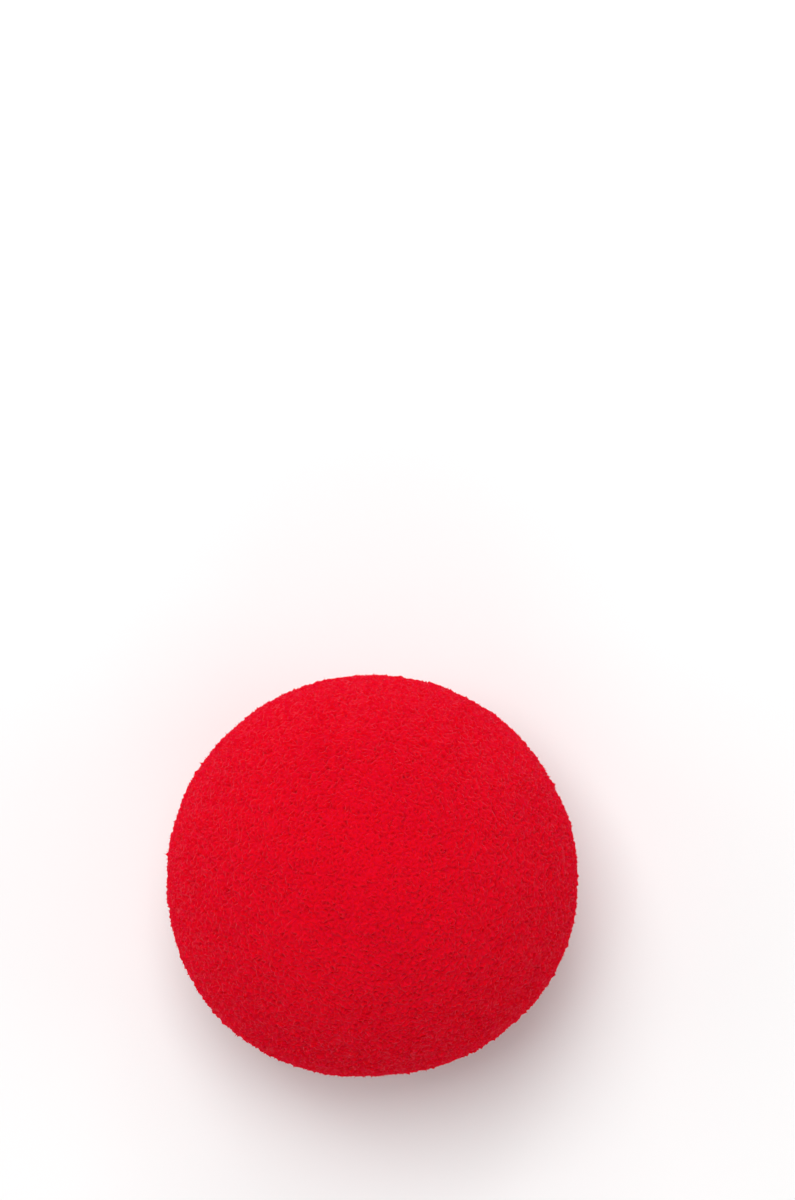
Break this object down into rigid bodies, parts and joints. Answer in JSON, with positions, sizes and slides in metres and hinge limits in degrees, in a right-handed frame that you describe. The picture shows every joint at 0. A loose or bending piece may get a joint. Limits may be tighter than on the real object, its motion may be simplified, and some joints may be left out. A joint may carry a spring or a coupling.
{
  "type": "clown nose",
  "caption": "Round red foam clown nose, cut flat at the back, with an open round hollow that slips over the wearer's nose and grips it.",
  "frame": {"origin": "middle of the flat back, in the plane of the land that rests on the face or on a table", "axes": "+Z out of the front of the nose, +Y to its top as worn, +X to the right of someone who looks at its front"},
  "size_m": [0.0506, 0.0494, 0.0453],
  "materials": {
    "red_foam": "matte, fine open-cell polyurethane foam, dyed through"
  },
  "bodies": {
    "root": {"foam_nose": "red_foam"}
  },
  "joints": []
}
